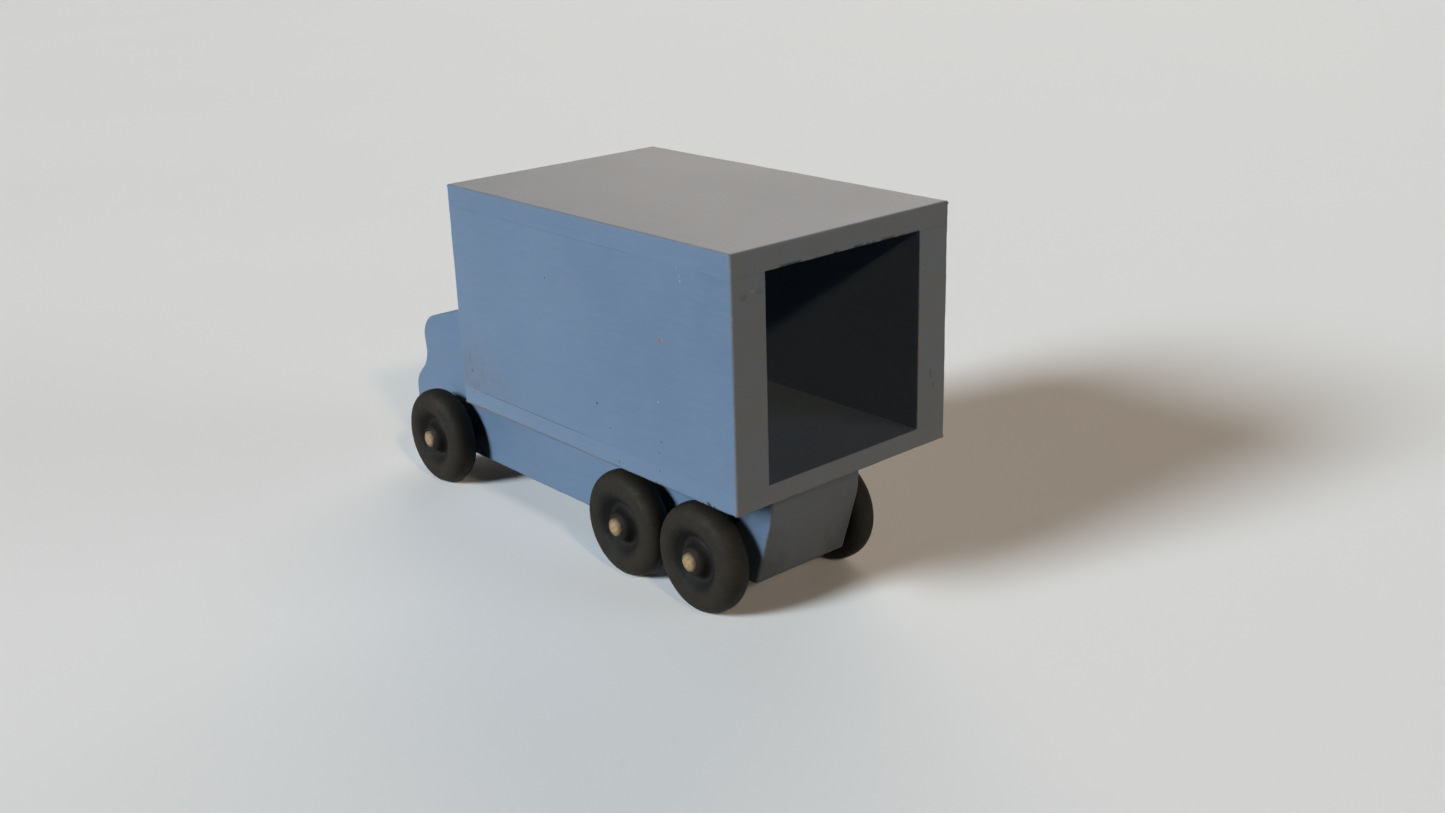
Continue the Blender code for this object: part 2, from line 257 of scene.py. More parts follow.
def painted_wood(name, along, tint=0.5, marks=(), fade=0.0):
    """Blue paint, brushed thinly on wood whose grain runs along one axis.

    The paint grows paler towards the cab by twice the fade. Marks are (centre,
    reach per axis, colour, strength). The mesh carries "dust", which greys the
    paint for dust with a painted sheen on the roof and for painted shade on end
    grain and inside the box, "grime", which browns it, "wear", which bares the
    wood, and "crack", which blackens cracks and, as painted shade, the block's
    rear end.
    """
    material, tree, shader = new_material(name)
    place = object_place(tree)
    along_grain = [34.0, 34.0, 34.0]
    along_grain["XYZ".index(along)] = 1.0
    broad = mottle(tree, place, 24.0, 4.0)
    patches = mottle(tree, place, 95.0, 4.0, 0.65)
    grain = mottle(tree, stretched(tree, place, along_grain), 42.0, 5.0, 0.6)
    brushed = mottle(tree, stretched(tree, place, [1.0, 5.0, 5.0]), 150.0, 3.0)
    speckle = mottle(tree, place, 1900.0, 2.0, 0.7)
    stipple = mottle(tree, place, 850.0, 3.0, 0.6)

    forward = node(tree, "ShaderNodeSeparateXYZ", {0: place}).outputs["X"]
    shade = total(
        tree,
        ramp(tree, broad, 0.3, 0.7, -0.20, 0.20),
        tint,
        ramp(tree, forward, BOX_REAR, BOX_FRONT, -fade, fade),
        ramp(tree, grain, 0.3, 0.7, -0.08, 0.08),
        ramp(tree, brushed, 0.3, 0.7, -0.11, 0.11),
    )
    colour = blend(tree, shade, BLUE_DEEP, BLUE_PALE)
    colour = blend(tree, ramp(tree, patches, 0.50, 0.70, 0.0, 0.45), colour, BLUE_LILAC)
    colour = blend(tree, ramp(tree, speckle, 0.58, 0.72, 0.0, 0.42), colour, BLUE_GREY)
    colour = blend(tree, ramp(tree, speckle, 0.41, 0.28, 0.0, 0.46), colour, BLUE_DEEP)

    dirt = mottle(tree, place, 330.0, 4.0, 0.65)
    settled = total(
        tree,
        ramp(tree, broad, 0.25, 0.75, 0.90, 1.04),
        ramp(tree, speckle, 0.3, 0.7, -0.26, 0.26),
        ramp(tree, patches, 0.3, 0.7, -0.10, 0.10),
    )
    # Grey: dust and painted sheen on the roof, painted shade on end grain and inside the box.
    dust_and_shade = times(tree, surface_share(tree, "dust"), settled)
    colour = blend(tree, dust_and_shade, colour, DUST_AND_SHADE_GREY)
    grime = times(tree, surface_share(tree, "grime"), ramp(tree, dirt, 0.30, 0.72, 0.35, 1.0))
    colour = blend(tree, grime, colour, GRIME)
    for mark in marks:
        colour = marked(tree, place, colour, *mark)

    chipping = mottle(tree, place, 620.0, 4.0, 0.7)
    ragged = ramp(tree, chipping, 0.25, 0.75, -0.42, 0.42)
    wear = total(tree, surface_share(tree, "wear"), ragged)
    bare = ramp(tree, wear, 0.60, 0.74)
    colour = blend(tree, times(tree, bare, 0.85), colour, BARE_WOOD)
    # Black for cracks, and as painted shade on the block's rear end.
    crack = ramp(tree, surface_share(tree, "crack"), 0.08, 0.9, 0.0, 0.92)
    colour = blend(tree, crack, colour, SOOT)

    rough = total(
        tree,
        ramp(tree, broad, 0.3, 0.7, 0.455, 0.485),
        ramp(tree, speckle, 0.3, 0.7, -0.05, 0.07),
        times(tree, total(tree, bare, grime), 0.18),
    )
    height = total(
        tree,
        times(tree, grain, 0.040 * MM),
        times(tree, brushed, 0.035 * MM),
        times(tree, stipple, 0.040 * MM),
        times(tree, bare, -0.05 * MM),
    )
    finish_surface(tree, shader, colour, rough, height)
    return material


def black_wheel_paint():
    """Black paint, rubbed brown on the tread and shoulders, with scuffs and nicks."""
    material, tree, shader = new_material("rubbed_black_paint")
    place = object_place(tree)
    broad = mottle(tree, place, 130.0, 4.0)
    scuff = mottle(tree, place, 700.0, 5.0, 0.7)
    fine = mottle(tree, place, 2600.0, 2.0, 0.7)
    worn = surface_share(tree, "wear")
    rubbed = times(tree, worn, ramp(tree, broad, 0.25, 0.75, 0.45, 1.0))
    rubbed = total(tree, rubbed, ramp(tree, scuff, 0.45, 0.75, 0.0, 0.16))
    colour = blend(tree, rubbed, BLACK_DEEP, BLACK_RUBBED)
    dust = times(tree, surface_share(tree, "grime"), ramp(tree, scuff, 0.4, 0.7, 0.1, 0.6))
    colour = blend(tree, dust, colour, GRIME)
    nicks = times(tree, worn, ramp(tree, fine, 0.68, 0.76))
    colour = blend(tree, nicks, colour, BARE_WOOD)
    rough = ramp(tree, scuff, 0.3, 0.7, 0.58, 0.78)
    shader.inputs["Specular IOR Level"].default_value = WHEEL_SPECULAR
    height = total(tree, times(tree, scuff, 0.050 * MM), times(tree, fine, 0.012 * MM))
    finish_surface(tree, shader, colour, rough, height)
    return material


def bare_dowel():
    """Hardwood with long grain, rings and pores, darker round the rims of its ends."""
    material, tree, shader = new_material("bare_dowel_wood")
    place = object_place(tree)
    long_grain = mottle(tree, stretched(tree, place, [30.0, 1.0, 30.0]), 60.0, 5.0, 0.6)
    rings = node(
        tree,
        "ShaderNodeTexWave",
        {"Vector": place, "Scale": 260.0, "Distortion": 3.0, "Detail": 3.0, "Detail Scale": 1.5},
        wave_type="BANDS",
        bands_direction="DIAGONAL",
    ).outputs["Fac"]
    pores = mottle(tree, place, 3200.0, 2.0, 0.6)
    tone = total(
        tree,
        ramp(tree, long_grain, 0.25, 0.75, 0.0, 0.5),
        ramp(tree, rings, 0.0, 1.0, 0.0, 0.25),
        ramp(tree, pores, 0.58, 0.75, 0.0, 0.5),
    )
    colour = blend(tree, tone, DOWEL_PALE, DOWEL_DARK)
    grime = times(tree, surface_share(tree, "grime"), ramp(tree, pores, 0.2, 0.8, 0.6, 1.0))
    colour = blend(tree, grime, colour, SOOT)
    rough = ramp(tree, pores, 0.3, 0.7, 0.42, 0.60)
    height = times(tree, total(tree, long_grain, rings), 0.03 * MM)
    finish_surface(tree, shader, colour, rough, height)
    return material


def worn_steel():
    """Zinc-plated screw steel with fine turning scratches and dull patches."""
    material, tree, shader = new_material("worn_screw_steel")
    place = object_place(tree)
    patches = mottle(tree, place, 900.0, 4.0, 0.6)
    scratches = mottle(tree, stretched(tree, place, [1.0, 18.0, 4.0]), 1500.0, 3.0, 0.6)
    colour = blend(tree, ramp(tree, patches, 0.35, 0.70), STEEL_BRIGHT, STEEL_DULL)
    rough = ramp(tree, patches, 0.3, 0.7, 0.26, 0.48)
    rough = total(tree, rough, ramp(tree, scratches, 0.4, 0.6, -0.05, 0.08))
    height = times(tree, scratches, 0.012 * MM)
    shader.inputs["Metallic"].default_value = 1.0
    finish_surface(tree, shader, colour, rough, height)
    return material


def pale_floor():
    material, tree, shader = new_material("pale_floor")
    place = object_place(tree)
    cloudy = mottle(tree, place, 3.0, 3.0)
    colour = blend(tree, cloudy, FLOOR_DARK, FLOOR_PALE)
    height = times(tree, mottle(tree, place, 240.0, 3.0), 0.04 * MM)
    finish_surface(tree, shader, colour, ramp(tree, cloudy, 0.3, 0.7, 0.82, 0.92), height)
    return material


# ------------------------------------------------------------------ mesh tools

def smooth_step(value, low, high):
    share = min(1.0, max(0.0, (value - low) / (high - low)))
    return share * share * (3.0 - 2.0 * share)


def rough_noise(place, size, seed=0.0):
    """Steady noise between about -1 and 1, its features about size across."""
    return noise.noise(Vector(place) / size + Vector((seed, 1.7 * seed, -0.6 * seed)))


def surface_mesh(name, points, faces):
    mesh = bpy.data.meshes.new(name)
    mesh.from_pydata(points, [], faces)
    mesh.update()
    return mesh


def show(name, data):
    """Put a mesh, a light or a camera in the scene."""
    thing = bpy.data.objects.new(name, data)
    bpy.context.scene.collection.objects.link(thing)
    return thing


def add_object(name, mesh, material, slot, body, *nodes):
    """Show a finished mesh, riding on a body in place of CAD nodes."""
    mesh.materials.append(material)
    mesh.shade_smooth()
    thing = show(name, mesh)
    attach(thing, body)
    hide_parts(*nodes)
    return thing


def store_shares(mesh, **shares):
    """Keep one number per vertex under each name, for the material to read."""
    for name, values in shares.items():
        layer = mesh.attributes.new(name, "FLOAT", "POINT")
        layer.data.foreach_set("value", values)


def lines_across(low, high, spacing):
    """Mesh lines from low to high: fine at both ends, evenly spaced between."""
    length = high - low
    near = [reach for reach in EDGE_LINES if reach < 0.4 * length]
    start, stop = near[-1], length - near[-1]
    steps = max(1, round((stop - start) / spacing))
    middle = [start + (stop - start) * step / steps for step in range(1, steps)]
    far = [length - reach for reach in reversed(near)]
    return [low + reach for reach in near + middle + far]


class Board:
    """A sawn board as a fine surface mesh with sanded, worn edges.

    radius_at(place, first_axis, first_side, second_axis, second_side) gives the
    edge radius wherever two faces meet. dress(place, gaps) returns wear, grime
    and crack, given the distances to the six faces. Grey lies on the top face by
    the top share, for dust and a painted sheen, and on the end grain at the rear
    and inside the box as painted shade.
    """

    def __init__(self, name, low, high, spacing=(BOARD_SPACING,) * 3, top_dust_and_sheen=0.0):
        self.name = name
        self.top_dust_and_sheen = top_dust_and_sheen
        self.low = Vector(low)
        self.high = Vector(high)
        self.lines = [lines_across(low[axis], high[axis], spacing[axis]) for axis in range(3)]

    def gaps(self, place):
        """Distances from a place to the low and high face across each axis."""
        return [(place[axis] - self.low[axis], self.high[axis] - place[axis]) for axis in range(3)]

    def surface(self):
        """The board's surface lattice: points and four-sided faces."""
        counts = [len(lines) for lines in self.lines]
        found, points, faces = {}, [], []

        def point(key):
            if key not in found:
                found[key] = len(points)
                points.append(Vector([self.lines[axis][key[axis]] for axis in range(3)]))
            return found[key]

        for axis in range(3):
            first, second = (axis + 1) % 3, (axis + 2) % 3
            for end in (0, counts[axis] - 1):
                for i in range(counts[first] - 1):
                    for j in range(counts[second] - 1):
                        ring = []
                        for di, dj in ((0, 0), (1, 0), (1, 1), (0, 1)):
                            key = [0, 0, 0]
                            key[axis] = end
                            key[first] = i + di
                            key[second] = j + dj
                            ring.append(point(tuple(key)))
                        faces.append(ring if end else ring[::-1])
        return points, faces

    def rounded(self, place, radius_at):
        """Move a surface point inwards where it lies on a rounded edge."""
        gaps = self.gaps(place)
        moved = place.copy()
        for first in range(3):
            for second in range(first + 1, 3):
                for side in range(2):
                    for other in range(2):
                        near, far = gaps[first][side], gaps[second][other]
                        if near > EDGE_LINES[-1] or far > EDGE_LINES[-1]:
                            continue
                        radius = radius_at(place, first, side, second, other)
                        if near >= radius or far >= radius:
                            continue
                        turn = math.pi / 4.0 * (1.0 - max(near, far) / radius)
                        deep = radius * (1.0 - math.cos(turn))
                        along = radius * (1.0 - math.sin(turn))
                        if near < far:
                            sink, slide = deep - near, along - far
                        else:
                            sink, slide = along - near, deep - far
                        moved[first] += sink if side == 0 else -sink
                        moved[second] += slide if other == 0 else -slide
        return moved

    def make(self, radius_at, dress):
        points, faces = self.surface()
        wear, grime, crack, dust, places = [], [], [], [], []
        for place in points:
            gaps = self.gaps(place)
            shares = dress(place, gaps)
            wear.append(shares[0])
            grime.append(shares[1])
            crack.append(shares[2])
            # Grey for dust and painted sheen on the top, and for painted shade on the rear end grain and
            # inside the box.
            on_top = 1.0 - smooth_step(gaps[2][1], 0.0, DUST_AND_SHADE_FADE)
            at_rear = 1.0 - smooth_step(gaps[0][0], 0.0, DUST_AND_SHADE_FADE)
            within = INSIDE_SHADE_GREY if inside_box(place) else 0.0
            dust.append(max(self.top_dust_and_sheen * on_top, END_SHADE_GREY * at_rear, within))
            places.append(self.rounded(place, radius_at))
        mesh = surface_mesh(self.name, places, faces)
        store_shares(mesh, wear=wear, grime=grime, crack=crack, dust=dust)
        return mesh


# --------------------------------------------------------------- places of use

side_low, side_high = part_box("box_side_left")
right_low, right_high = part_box("box_side_right")
floor_low, floor_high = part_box("box_floor")
roof_low, roof_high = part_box("box_roof")
front_low, front_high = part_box("box_front")
block_low, block_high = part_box("chassis_and_cab")

BOX_REAR = floor_low.x
BOX_FRONT = floor_high.x
BOX_LEFT = side_high.y
BOX_RIGHT = right_low.y
BOX_BASE = floor_low.z
BOX_TOP = roof_high.z
FLOOR_SEAM = (floor_high.z + side_low.z) / 2.0
ROOF_SEAM = (side_high.z + roof_low.z) / 2.0
INNER_LEFT = side_low.y
INNER_RIGHT = right_high.y
LENGTH = BOX_FRONT - BOX_REAR


def axle_size(station):
    """An axle's centre, radius and half length."""
    low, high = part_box("axle_" + station)
    return (low + high) / 2.0, (high.x - low.x) / 2.0, (high.y - low.y) / 2.0


def inside_box(place):
    """Whether a place is on the cargo box's inner faces."""
    slack = 0.01 * MM
    between_sides = INNER_RIGHT - slack < place.y < INNER_LEFT + slack
    between_decks = FLOOR_SEAM - slack < place.z < ROOF_SEAM + slack
    behind_front = BOX_REAR + 0.4 * MM < place.x < front_low.x + slack
    return between_sides and between_decks and behind_front


def on_left(from_rear, up):
    """A place on the box's left side, in millimetres from its lower rear corner."""
    return (BOX_REAR + from_rear * MM, BOX_LEFT, BOX_BASE + up * MM)


def on_rear(across, up):
    """A place on the box's rear face, in millimetres left of its middle and up."""
    return (BOX_REAR, across * MM, BOX_BASE + up * MM)


def dot(centre, radius, colour, strength=1.0):
    """A round mark, its radius in millimetres."""
    return centre, (radius * MM, radius * MM, radius * MM), colour, strength


def streak(centre, reach, colour, strength):
    """A long mark, its reach along x, y and z in millimetres."""
    return centre, tuple(size * MM for size in reach), colour, strength


# Marks seen in the photograph. A separate program projected most of their places
# from points picked by eye; the others were moved or placed by hand.
LEFT_MARKS = [
    dot(on_left(63.2, 18.8), 0.55, SOOT),
    dot(on_left(119.8, 70.1), 0.42, SOOT, 0.8),
    dot(on_left(86.7, 54.0), 0.36, SOOT, 0.7),
    dot(on_left(31.0, 45.6), 0.75, RUST, 0.85),
    dot(on_left(30.2, 46.2), 0.45, BARE_WOOD),
    dot(on_left(21.2, 65.1), 0.40, FLECK, 0.6),
    streak(on_left(21.4, 66.6), (0.3, 0.5, 0.8), FLECK, 0.35),
    streak(on_left(22.6, 69.0), (0.4, 0.5, 0.6), FLECK, 0.25),
    dot(on_left(33.2, 26.6), 0.36, FLECK, 0.7),
    dot(on_left(42.9, 22.1), 0.32, SOOT, 0.6),
    dot(on_left(56.9, 12.3), 0.32, SOOT, 0.7),
    dot(on_left(32.5, 14.3), 0.36, SOOT, 0.7),
    dot(on_left(133.6, 13.1), 0.70, GRIME, 0.8),
    streak(on_left(134.6, 18.0), (0.5, 0.5, 2.2), GRIME, 0.35),
    dot(on_left(130.2, 8.4), 0.50, GRIME, 0.7),
    dot(on_left(33.8, 10.6), 0.50, GRIME, 0.7),
    streak(on_rear(33.6, 64.1), (0.8, 1.5, 1.1), SOOT, 0.24),
    streak(on_rear(39.4, 63.4), (0.8, 1.6, 1.0), SOOT, 0.30),
    streak(on_rear(36.6, 64.6), (0.8, 1.0, 0.4), FLECK, 0.20),
    dot(on_rear(43.9, 58.3), 0.60, BARE_WOOD, 0.75),
]
LOWER_MARKS = [
    dot(on_left(53.5, 2.3), 0.55, GRIME, 0.8),
    dot(on_left(33.8, 4.8), 0.50, GRIME, 0.8),
    dot(on_left(133.9, 5.1), 0.55, RUST, 0.9),
    dot(on_left(127.2, 0.4), 0.75, RUST),
    dot(on_left(35.6, 0.2), 0.90, SOOT, 0.9),
    dot(on_left(33.4, 0.3), 0.70, SOOT, 0.9),
    dot(on_left(12.0, 0.4), 1.10, SOOT, 0.9),
    dot(on_left(9.6, 0.1), 0.80, SOOT, 0.9),
    dot(on_left(14.6, 0.0), 0.80, SOOT, 0.9),
    dot(on_rear(-24.0, 6.5), 0.55, BARE_WOOD, 0.6),
    dot(on_rear(1.4, 6.6), 0.45, BARE_WOOD, 0.6),
]
ROOF_MARKS = [dot((BOX_REAR + 40.1 * MM, 17.4 * MM, BOX_TOP), 0.45, BARE_WOOD, 0.8)]
RIGHT_MARKS = [
    dot(on_rear(-32.9, 57.4), 0.45, BARE_WOOD, 0.6),
    dot(on_rear(-41.3, 51.4), 0.36, BARE_WOOD, 0.5),
    streak(on_rear(-37.2, 23.2), (0.8, 0.45, 1.8), SOOT, 0.42),
    streak(on_rear(-38.3, 19.4), (0.8, 0.40, 1.3), SOOT, 0.34),
]


# ------------------------------------------------------------------ cargo box

def wobble(place, radius):
    """A hand-sanded radius that wanders along the edge."""
    slow = rough_noise(place, 9.0 * MM, 3.0)
    quick = rough_noise(place, 2.4 * MM, 8.0)
    return radius * max(0.45, 1.0 + 0.30 * slow + 0.22 * quick)


def box_edge_radius(seams):
    """Edge radii for a board of the box; seams names its (axis, side) joint faces."""

    def radius_at(place, first, side, second, other):
        first_seam = (first, side) in seams
        second_seam = (second, other) in seams
        if first_seam or second_seam:
            return SEAM_EDGE
        softer = LONG_CORNER if (first, second) == (1, 2) and side == 0 else OPEN_EDGE
        return wobble(place, softer)

    return radius_at


def edge_share(gaps, seams):
    """1 on an open edge, fading to 0 over the reach of wear."""
    near = sorted(
        min(gap for side, gap in enumerate(pair) if (axis, side) not in seams)
        if any((axis, side) not in seams for side in range(2))
        else 1.0
        for axis, pair in enumerate(gaps)
    )
    return 1.0 - smooth_step(near[1], 0.0, WEAR_REACH)


def crack_strength(x):
    """The seam over the floor board: closed at the rear, open towards the cab."""
    reach = (x - BOX_REAR) / LENGTH
    breaks = 0.5 + 0.5 * rough_noise((x, 0.0, 0.0), 7.0 * MM, 5.0)
    opened = smooth_step(reach, 0.30, 0.66)
    closed_again = 0.8 * smooth_step(reach, 0.88, 0.98)
    return opened * (1.0 - closed_again) * (0.25 + 0.75 * breaks)


def worn_patch(place):
    """The dirty patch on the left side's lower front corner."""
    from_front = BOX_FRONT - place.x
    up = place.z - BOX_BASE
    ragged = 4.0 * MM * rough_noise(place, 7.0 * MM, 2.0)
    reach = math.hypot(from_front / 1.35, max(0.0, up - 5.0 * MM) * 1.05) + ragged
    return 0.40 * (1.0 - smooth_step(reach, 2.0 * MM, 31.0 * MM))


def make_left_side():
    low = (BOX_REAR, INNER_LEFT, FLOOR_SEAM)
    high = (BOX_FRONT, BOX_LEFT, ROOF_SEAM)
    seams = {(2, 0), (2, 1)}
    plain = box_edge_radius(seams)

    def radius_at(place, first, side, second, other):
        if (first, side, second, other) == (1, 1, 2, 0):
            return SEAM_EDGE + CRACK_EDGE * crack_strength(place.x)
        if (first, side, second, other) == (0, 0, 1, 0):
            return wobble(place, MOUTH_EDGE)
        return plain(place, first, side, second, other)

    def dress(place, gaps):
        outer = gaps[1][1] < NEAR_FACE
        wear = 0.42 * edge_share(gaps, seams)
        grime = worn_patch(place) if outer else 0.0
        crack = 0.0
        if outer:
            crack = crack_strength(place.x) * (1.0 - smooth_step(gaps[2][0], 0.0, 0.24 * MM))
        return wear, grime, crack

    board = Board("side_board_left", low, high)
    mesh = board.make(radius_at, dress)
    material = painted_wood("left_side_paint", "X", 0.52, LEFT_MARKS, SIDE_FADE)
    add_object("side_board_left", mesh, material, "blue_paint", BODY, "box_side_left")


def make_right_side():
    low = (BOX_REAR, BOX_RIGHT, FLOOR_SEAM)
    high = (BOX_FRONT, INNER_RIGHT, ROOF_SEAM)
    seams = {(2, 0), (2, 1)}
    plain = box_edge_radius(seams)

    def radius_at(place, first, side, second, other):
        if (first, side, second, other) == (0, 0, 1, 1):
            return wobble(place, MOUTH_EDGE)
        if (first, side, second, other) == (0, 0, 2, 0):
            return SEAM_EDGE + 0.12 * MM * smooth_step(place.y, BOX_RIGHT + 5.0 * MM, BOX_RIGHT)
        return plain(place, first, side, second, other)

    def dress(place, gaps):
        return 0.46 * edge_share(gaps, seams), 0.0, 0.0

    board = Board("side_board_right", low, high)
    mesh = board.make(radius_at, dress)
    material = painted_wood("right_side_paint", "X", 0.46, RIGHT_MARKS)
    add_object("side_board_right", mesh, material, "blue_paint", BODY, "box_side_right")


def make_floor_board():
    low = (BOX_REAR, BOX_RIGHT, BOX_BASE)
    high = (BOX_FRONT, BOX_LEFT, FLOOR_SEAM)
    seams = {(2, 1)}
    plain = box_edge_radius(seams)

    def radius_at(place, first, side, second, other):
        if (first, side, second, other) == (1, 1, 2, 1):
            return SEAM_EDGE + CRACK_EDGE * crack_strength(place.x)
        if (first, side, second, other) == (0, 0, 2, 1):
            inside = INNER_RIGHT < place.y < INNER_LEFT
            return wobble(place, MOUTH_EDGE) if inside else SEAM_EDGE
        return plain(place, first, side, second, other)

    def dress(place, gaps):
        reach = (place.x - BOX_REAR) / LENGTH
        lower_left = gaps[1][1] < NEAR_FACE and gaps[2][0] < NEAR_FACE
        along = 0.52 + 0.34 * smooth_step(reach, 0.30, 0.75) if lower_left else 0.44
        wear = along * edge_share(gaps, seams)
        grime = 0.0
        if lower_left:
            grime = 0.30 * edge_share(gaps, seams) * (0.5 + smooth_step(reach, 0.3, 0.8))
        crack = 0.0
        if gaps[1][1] < NEAR_FACE:
            crack = crack_strength(place.x) * (1.0 - smooth_step(gaps[2][1], 0.0, 0.12 * MM))
        return wear, grime, crack

    board = Board("floor_board", low, high)
    mesh = board.make(radius_at, dress)
    material = painted_wood("floor_board_paint", "X", 0.72, LOWER_MARKS, SIDE_FADE)
    add_object("floor_board", mesh, material, "blue_paint", BODY, "box_floor")


def make_roof_board():
    low = (BOX_REAR, BOX_RIGHT, ROOF_SEAM)
    high = (BOX_FRONT, BOX_LEFT, BOX_TOP)
    seams = {(2, 0)}
    plain = box_edge_radius(seams)

    def over_mouth(place):
        return smooth_step(place.y, INNER_RIGHT - 0.3 * MM, INNER_RIGHT + 0.5 * MM) * (
            1.0 - smooth_step(place.y, INNER_LEFT - 0.5 * MM, INNER_LEFT + 0.3 * MM)
        )

    def splinter(place):
        """How far the roof's inner rear edge is chipped away."""
        teeth = 0.5 + 0.5 * rough_noise((0.0, place.y, 0.0), 1.1 * MM, 4.0)
        bites = max(0.0, rough_noise((0.0, place.y, 0.0), 3.6 * MM, 9.0))
        return over_mouth(place) * (0.05 * MM + 0.52 * MM * teeth + 0.55 * MM * bites)

    def radius_at(place, first, side, second, other):
        if (first, side, second, other) == (0, 0, 2, 0):
            return SEAM_EDGE + splinter(place)
        return plain(place, first, side, second, other)

    def dress(place, gaps):
        wear = 0.42 * edge_share(gaps, seams)
        crack = 0.0
        if gaps[0][0] < 0.8 * MM and gaps[2][0] < 0.9 * MM:
            crack = 0.8 * smooth_step(splinter(place), 0.20 * MM, 0.6 * MM)
        return wear, 0.0, crack

    spacing = (BOARD_SPACING, CHIP_SPACING, BOARD_SPACING)
    # The roof's top is greyed for dust and a painted sheen.
    board = Board("roof_board", low, high, spacing, ROOF_DUST_AND_SHEEN)
    mesh = board.make(radius_at, dress)
    material = painted_wood("roof_board_paint", "X", 0.50, ROOF_MARKS)
    add_object("roof_board", mesh, material, "blue_paint", BODY, "box_roof")


def make_front_board():
    low = (front_low.x, INNER_RIGHT, FLOOR_SEAM)
    high = (BOX_FRONT, INNER_LEFT, ROOF_SEAM)
    seams = {(1, 0), (1, 1), (2, 0), (2, 1)}

    def dress(place, gaps):
        return 0.0, 0.0, 0.0

    board = Board("front_board", low, high)
    mesh = board.make(box_edge_radius(seams), dress)
    material = painted_wood("front_board_paint", "Z", 0.48)
    add_object("front_board", mesh, material, "blue_paint", BODY, "box_front")


# -------------------------------------------------------- chassis and cab block

def block_corners():
    """The block's side outline in the row frame: (x, z, fillet radius)."""
    underside = block_low.z
    chassis_top = BOX_BASE - JOINT_GAP
    return [
        (block_low.x, chassis_top, CORNER_RADIUS),
        (BOX_FRONT + JOINT_GAP, chassis_top, 0.0),
        (BOX_FRONT + JOINT_GAP, block_high.z, CORNER_RADIUS),
        (BOX_REAR + 172.0 * MM, BOX_BASE + 21.9 * MM, SLOPE_RADIUS),
        (block_high.x - 8.5 * MM, BOX_BASE + 11.0 * MM, 9.5 * MM),
        (block_high.x - 9.8 * MM, BOX_BASE - 5.6 * MM, 10.0 * MM),
        (block_high.x, BOX_BASE - 14.8 * MM, 12.0 * MM),
        (block_high.x, underside, 8.0 * MM),
        (block_low.x + 7.5 * MM, underside, 2.0 * MM),
        (block_low.x + 0.3 * MM, BOX_BASE - 13.0 * MM, 25.0 * MM),
    ]


def rounded_outline(corners):
    """Points of a closed outline whose corners are (x, z, fillet radius)."""
    points = []
    count = len(corners)
    for index, (x, z, radius) in enumerate(corners):
        if radius == 0.0:
            points.append((x, z))
            continue
        corner = Vector((x, z))
        before = (Vector(corners[index - 1][:2]) - corner).normalized()
        after = (Vector(corners[(index + 1) % count][:2]) - corner).normalized()
        half_opening = before.angle(after) / 2.0
        centre = corner + (before + after).normalized() * radius / math.sin(half_opening)
        start = corner + before * radius / math.tan(half_opening) - centre
        stop = corner + after * radius / math.tan(half_opening) - centre
        first = math.atan2(start.y, start.x)
        sweep = math.remainder(math.atan2(stop.y, stop.x) - first, math.tau)
        steps = max(3, math.ceil(abs(sweep) / ARC_STEP))
        for step in range(steps + 1):
            angle = first + sweep * step / steps
            points.append((centre.x + radius * math.cos(angle), centre.y + radius * math.sin(angle)))
    return points


def circle(x, z, radius, steps):
    turns = [math.tau * step / steps for step in range(steps)]
    return [(x + radius * math.cos(turn), z + radius * math.sin(turn)) for turn in turns]


def divided(points, spacing):
    """A closed outline with its long straight runs cut to about the spacing."""
    cut = []
    for index, point in enumerate(points):
        here, after = Vector(point), Vector(points[(index + 1) % len(points)])
        steps = max(1, round((after - here).length / spacing))
        cut += [here.lerp(after, step / steps) for step in range(steps)]
    return cut


def inward_steps(points):
    """For each point of a clockwise outline, the move that takes both its runs in by one."""
    moves = []
    for index, here in enumerate(points):
        arriving = (here - points[index - 1]).normalized()
        leaving = (points[(index + 1) % len(points)] - here).normalized()
        one = Vector((arriving.y, -arriving.x))
        other = Vector((leaving.y, -leaving.x))
        middle = (one + other).normalized()
        moves.append(middle / max(0.5, middle.dot(one)))
    return moves


def block_rings():
    """Lines from a side face round its sanded edge to the rim: (share of the edge
    radius inwards, share of it deep, further inset, wear)."""
    rings = [(1.0, 0.0, RIM_INSET, 0.0)]
    for step in range(BLOCK_EDGE_STEPS + 1):
        turn = math.pi / 2.0 * step / BLOCK_EDGE_STEPS
        rings.append((1.0 - math.sin(turn), 1.0 - math.cos(turn), 0.0, BLOCK_WEAR * math.sin(2.0 * turn)))
    rings.append((0.0, BLOCK_LAST_LINE, 0.0, 0.0))
    return rings


def join_loops(faces, loops):
    """Add four-sided faces between each closed loop and the next."""
    for one, other in zip(loops, loops[1:]):
        for index, here in enumerate(one):
            after = (index + 1) % len(one)
            faces.append([here, other[index], other[after], one[after]])


def flat_cap(points, loops, facing_left):
    """Triangles over a flat side face: inside its first loop and outside the others."""
    corners = [index for loop in loops for index in loop]
    closed = [[Vector((points[index][0], points[index][2], 0.0)) for index in loop] for loop in loops]
    triangles = []
    for triangle in geometry.tessellate_polygon(closed):
        a, b, c = [corners[index] for index in triangle]
        across = (points[b][0] - points[a][0]) * (points[c][2] - points[a][2])
        across -= (points[c][0] - points[a][0]) * (points[b][2] - points[a][2])
        counter_clockwise = across > 0.0
        triangles.append([a, c, b] if counter_clockwise == facing_left else [a, b, c])
    return triangles


def painted_wheel_shade(half):
    """Painted shade on the block's sides round the rear wheels, a little behind their axle."""
    centre = axle_size("rear")[0]
    return [
        streak((centre.x - 3.0 * MM, out * half, centre.z), (22.0, 12.0, 22.0), SOOT, 0.60)
        for out in (1.0, -1.0)
    ]


